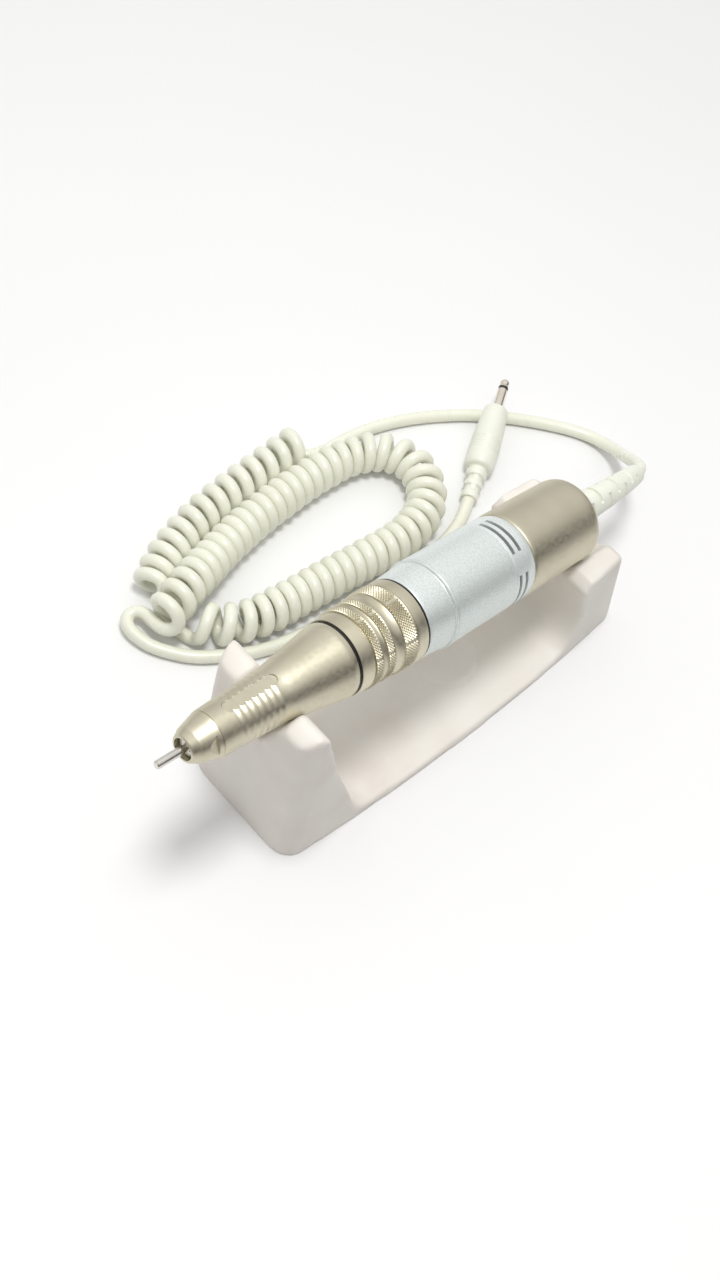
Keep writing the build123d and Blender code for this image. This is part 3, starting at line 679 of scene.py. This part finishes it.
def spline_points(points, resolution):
    """Points read along the smooth NURBS line whose control points are given."""
    curve = bpy.data.curves.new("line", "CURVE")
    curve.dimensions = "3D"
    curve.resolution_u = resolution
    spline = curve.splines.new("NURBS")
    spline.points.add(len(points) - 1)
    for target, point in zip(spline.points, points):
        target.co = (*(Vector(point) * MM), 1)
    spline.order_u = 3
    spline.use_endpoint_u = True
    holder = bpy.data.objects.new("line", curve)
    bpy.context.scene.collection.objects.link(holder)
    mesh = bpy.data.meshes.new_from_object(holder.evaluated_get(bpy.context.evaluated_depsgraph_get()))
    line = np.array([v.co for v in mesh.vertices]) / MM
    bpy.data.objects.remove(holder)
    bpy.data.curves.remove(curve)
    bpy.data.meshes.remove(mesh)
    return line


def smooth_axis(axis_points):
    """Even distances along a smooth axis, with its place, its heading and its bend at each."""
    axis = spline_points(axis_points, AXIS_RESOLUTION)
    steps = np.linalg.norm(np.diff(axis, axis=0), axis=1)
    along = np.concatenate([[0], np.cumsum(steps)])
    even = np.linspace(0, along[-1], AXIS_SAMPLES)
    line = np.stack([np.interp(even, along, axis[:, k]) for k in range(3)], -1)
    heading = np.gradient(line, even, axis=0)
    heading /= np.linalg.norm(heading, axis=1)[:, None]
    bend = np.linalg.norm(np.gradient(heading, even, axis=0), axis=1)
    window = 2 * BEND_SMOOTHING + 1
    bend = np.convolve(np.pad(bend, BEND_SMOOTHING, mode="edge"), np.ones(window) / window, "valid")
    return even, line, heading, bend


def curl(axis_points, start_angle, end_angle, looseness):
    """A curly stretch: turns round a smooth axis, spread where it bends.

    looseness(distance, whole) gives the share that the pitch grows by at a place.
    Angles are measured from the upper side of the axis.
    """
    even, line, heading, bend = smooth_axis(axis_points)
    pitch = CLOSE_PITCH * (1 + looseness(even, even[-1])) / (1 - BEND_CROWDING * HELIX_R * bend)
    turns = np.concatenate([[0], np.cumsum(1 / pitch[:-1] * np.diff(even))])
    wanted = turns[-1] + (HAND * (end_angle - start_angle) / 360 - turns[-1] + 0.5) % 1 - 0.5
    turns *= wanted / turns[-1]
    count = round(turns[-1] * TURN_POINTS)
    where = np.interp(np.arange(1, count) / TURN_POINTS, turns, even)
    made = []
    for index, distance in enumerate(where, start=1):
        at = np.array([np.interp(distance, even, line[:, k]) for k in range(3)])
        ahead = np.array([np.interp(distance, even, heading[:, k]) for k in range(3)])
        ahead /= np.linalg.norm(ahead)
        upward = np.array([0, 0, 1.0]) - ahead * ahead[2]
        upward /= np.linalg.norm(upward)
        aside = np.cross(ahead, upward)
        angle = math.radians(start_angle) + HAND * 2 * math.pi * index / TURN_POINTS
        uneven = 1 + 0.012 * math.sin(distance * 0.31) + 0.008 * math.sin(distance * 0.83)
        radius = HELIX_R * HELIX_CUT * uneven
        made.append(tuple(at + radius * (math.cos(angle) * upward + math.sin(angle) * aside)))
    return made


def tube(line, radius, sides):
    """Points and faces of a tube along a line, with a flat end at each end."""
    heading = np.gradient(line, axis=0)
    heading /= np.linalg.norm(heading, axis=1)[:, None]
    side = np.cross(heading[0], [0, 0, 1.0])
    points = []
    for at, ahead in zip(line, heading):
        side = side - ahead * side.dot(ahead)
        side /= np.linalg.norm(side)
        other = np.cross(ahead, side)
        for k in range(sides):
            angle = 2 * math.pi * k / sides
            points.append(at + radius * (math.cos(angle) * side + math.sin(angle) * other))
    faces = lathe_faces(len(line), sides, closed=False)
    faces += [tuple(range(sides)), tuple(range((len(line) - 1) * sides, len(line) * sides))]
    return points, faces


def spread_rear(distance, whole):
    """The rear curl is loosest where it starts and closes up towards its end."""
    return 0.42 - 0.30 * distance / whole


def spread_front(distance, whole):
    """The front curl is close, apart from its first and last turns."""
    return 0.7 * np.exp(-distance / 9.0) + 0.8 * np.exp(-(whole - distance) / 9.0)


def cord():
    """One cord, from the boot through both curly stretches to the plug."""
    rear = curl(CURL_REAR, -155, -60, spread_rear)
    front = curl(CURL_FRONT, 150, 172, spread_front)
    route = [tuple(EXIT), *REAR_LEAD, *rear, *LINK, *front, *FRONT_LEAD]
    line = spline_points(route, CORD_RESOLUTION)
    length = float(np.linalg.norm(np.diff(line, axis=0), axis=1).sum())
    points, faces = tube(line, CORD_D / 2, CORD_SIDES)
    stretches = ["cord_rear_lead", "cord_curl_rear", "cord_link", "cord_curl_front", "cord_front_lead"]
    piece = add_piece("curly_cord", points, faces, JACKET, None, stretches, 80)
    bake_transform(piece)
    return piece, line, length


# ---------------------------------------------------------------- plug
PLUG_RELIEF, RELIEF_BARS, BAR_SIZE, BAR_OUT = 12.6, (3.7, 7.9), (2.6, 1.9, 0.75), 2.62
RIDGE_COUNT, RIDGE_FIRST, RIDGE_PITCH = 5, 6.2, 1.05


def plug_place():
    """The plug's own axis, from where the cord enters it towards its tip."""
    aim = Vector(PLUG_AIM).normalized()
    aside = Vector((0, 0, 1)).cross(aim).normalized()
    upward = aim.cross(aside)
    turn = Matrix((aim, aside, upward)).transposed().to_4x4()
    return Matrix.Translation(PLUG_REAR) @ turn


def plug_grip(place):
    """The moulded grip, with its three-step relief behind and grooves round its middle."""
    rear, front = PLUG_RELIEF, PLUG_BODY
    outline = [(0, 2.1), (0, 2.75), (0.15, 2.95), (0.5, 3.05), (2.4, 3.05), (2.6, 2.95), (2.7, 2.6)]
    outline += [(3.2, 2.5), (4.5, 2.5), (4.7, 2.65), (4.8, 3.1), (5.1, 3.25), (6.6, 3.25), (6.85, 3.1)]
    outline += [(6.95, 2.7), (7.4, 2.6), (8.5, 2.6), (8.7, 2.8), (8.8, 3.4), (9.1, 3.6)]
    outline += [(rear - 1.6, 3.72), (rear - 1.3, 3.6), (rear - 1.15, 3.25), (rear - 0.25, 3.2)]
    outline += [(rear, 3.6), (rear + 0.15, 4.3), (rear + 0.6, 4.75), (rear + 1.5, 5.12), (rear + 3.2, 5.26)]
    for ridge in range(RIDGE_COUNT):
        start = rear + RIDGE_FIRST + ridge * RIDGE_PITCH
        outline += [(start, 5.26), (start + 0.25, 5.25), (start + 0.37, 5.13), (start + 0.5, 5.13)]
        outline += [(start + 0.62, 5.24)]
    outline += [(rear + 12.6, 5.2), (rear + 16, 5.0), (front - 6, 4.74), (front - 2.2, 4.45)]
    outline += [(front - 1.1, 4.24), (front - 0.5, 4.0), (front - 0.12, 3.65), (front, 3.3), (front, 1.8)]
    outline += [(front - 2, 1.8), (2, 2.1)]
    return lathe("plug_grip", outline, MOULDING, "rest", ["plug_cover"], 96,
                 place=place, sharp=50)


def plug_bars(place):
    """Four small bars that join the steps of the relief."""
    joined = bmesh.new()
    for station in RELIEF_BARS:
        for side in (-1, 1):
            bar = bmesh.new()
            bmesh.ops.create_cube(bar, size=1.0)
            bmesh.ops.scale(bar, vec=BAR_SIZE, verts=bar.verts)
            bmesh.ops.bevel(bar, geom=bar.edges[:], offset=0.22, segments=3, affect="EDGES")
            bmesh.ops.translate(bar, vec=(station, 0, side * BAR_OUT), verts=bar.verts)
            part = bpy.data.meshes.new("bar")
            bar.to_mesh(part)
            bar.free()
            joined.from_mesh(part)
            bpy.data.meshes.remove(part)
    bmesh.ops.transform(joined, matrix=Matrix.Scale(MM, 4) @ place, verts=joined.verts)
    mesh = bpy.data.meshes.new("plug_bars")
    joined.to_mesh(mesh)
    joined.free()
    return add_mesh("plug_relief_bars", mesh, MOULDING, "rest")


def plug_sleeve(place):
    """The long contact of the barrel."""
    back, end = PLUG_BODY - 1.5, PLUG_BODY + 8.6
    outline = [(back, 0.9), (back, 1.74), (end - 0.3, 1.75), (end - 0.05, 1.7), (end, 1.55), (end, 0.9)]
    return lathe("plug_barrel_sleeve", outline, FINISHES["plug_metal"], "rest",
                 ["plug_sleeve"], 64, place=place)


def plug_tip(place):
    """The tip contact, with its waist and its rounded point."""
    start = PLUG_BODY + 9.5
    profile = [(0, 0.05), (0, 1.6), (0.1, 1.72), (0.3, 1.74), (0.8, 1.42), (1.1, 1.4), (1.7, 1.66)]
    profile += [(2.1, 1.68), (2.6, 1.5), (3.1, 1.1), (3.4, 0.55), (3.5, 0.05)]
    outline = [(start + station, radius) for station, radius in profile]
    return lathe("plug_barrel_tip", outline, FINISHES["plug_metal"], "rest",
                 ["plug_tip"], 64, place=place)


def plug():
    """The jack plug: a moulded grip on a plated barrel."""
    place = plug_place()
    return [plug_grip(place), plug_bars(place), plug_sleeve(place), plug_tip(place)]


# ---------------------------------------------------------------- CAD nodes that stay
def finish_cad_nodes():
    """Give every CAD node the finish of its material slot, and smooth shading."""
    for part in frame["record"]["subparts"]:
        mesh = frame["nodes"][part["node"]].data
        mesh.materials.clear()
        mesh.materials.append(FINISHES[part["material_slot"]])
        mesh.polygons.foreach_set("use_smooth", [True] * len(mesh.polygons))
        mesh.set_sharp_from_angle(angle=math.radians(30))


# ---------------------------------------------------------------- stage
CAMERA_SPOT = (-0.2272, -0.1203, 0.3958)
CAMERA_RIGHT, CAMERA_UP = (0.7256, -0.6666, 0.1704), (0.5036, 0.6833, 0.5287)
LENS = 42.19
FLOOR_HALF = 2.5
SKY_AIM = (0.1, 0.3, 0.95)
SKY = [(0.0, (0.03, 0.028, 0.026, 1)), (0.2, (0.13, 0.125, 0.12, 1)), (0.5, (0.74, 0.73, 0.72, 1)),
       (1.0, (0.93, 0.93, 0.93, 1))]


def add_camera():
    camera = bpy.data.objects.new("camera", bpy.data.cameras.new("camera"))
    bpy.context.scene.collection.objects.link(camera)
    right = Vector(CAMERA_RIGHT).normalized()
    back = right.cross(Vector(CAMERA_UP)).normalized()
    up = back.cross(right)
    turn = Matrix((right, up, back)).transposed().to_4x4()
    camera.matrix_world = Matrix.Translation(CAMERA_SPOT) @ turn
    camera.data.lens = LENS
    camera.data.clip_start = 0.01
    bpy.context.scene.camera = camera


def add_floor():
    mesh = bpy.data.meshes.new("floor")
    corners = [(x * FLOOR_HALF, y * FLOOR_HALF, 0) for x, y in ((-1, -1), (1, -1), (1, 1), (-1, 1))]
    mesh.from_pydata(corners, [], [(0, 1, 2, 3)])
    mesh.materials.append(TABLE)
    floor = bpy.data.objects.new("floor", mesh)
    bpy.context.scene.collection.objects.link(floor)


def add_light(name, spot, aim, size, power):
    """A round lamp of a size in metres and a power in watts, aimed at a point."""
    light = bpy.data.lights.new(name, "AREA")
    light.shape = "DISK"
    light.size = size
    light.energy = power
    holder = bpy.data.objects.new(name, light)
    bpy.context.scene.collection.objects.link(holder)
    holder.location = spot
    holder.rotation_euler = (Vector(aim) - Vector(spot)).to_track_quat("-Z", "Y").to_euler()


def add_world():
    """A soft sky, brightest above and behind the object, and dark low down on the near side."""
    world = bpy.data.worlds.new("studio")
    world.use_nodes = True
    tree = world.node_tree
    place = tree.nodes.new("ShaderNodeTexCoord")
    facing = tree.nodes.new("ShaderNodeVectorMath")
    facing.operation = "DOT_PRODUCT"
    facing.inputs[1].default_value = SKY_AIM
    ramp = tree.nodes.new("ShaderNodeValToRGB")
    set_stops(ramp, SKY)
    tree.links.new(place.outputs["Generated"], facing.inputs[0])
    tree.links.new(facing.outputs["Value"], ramp.inputs["Fac"])
    tree.links.new(ramp.outputs["Color"], tree.nodes["Background"].inputs["Color"])
    tree.nodes["Background"].inputs["Strength"].default_value = 1.0
    bpy.context.scene.world = world


def add_stage():
    add_floor()
    add_world()
    add_light("key", (-0.08, -0.02, 0.95), (0, 0, 0.03), 0.22, 4.4)
    bpy.context.scene.view_settings.view_transform = "Standard"


add_camera()
add_stage()
finish_cad_nodes()
hand_rest()
nose_tip()
nose_cone()
lock_collar()
body_shell()
vent_ring()
end_cap()
strain_relief()
cord_piece, cord_line, cord_length = cord()
plug_parts = plug()
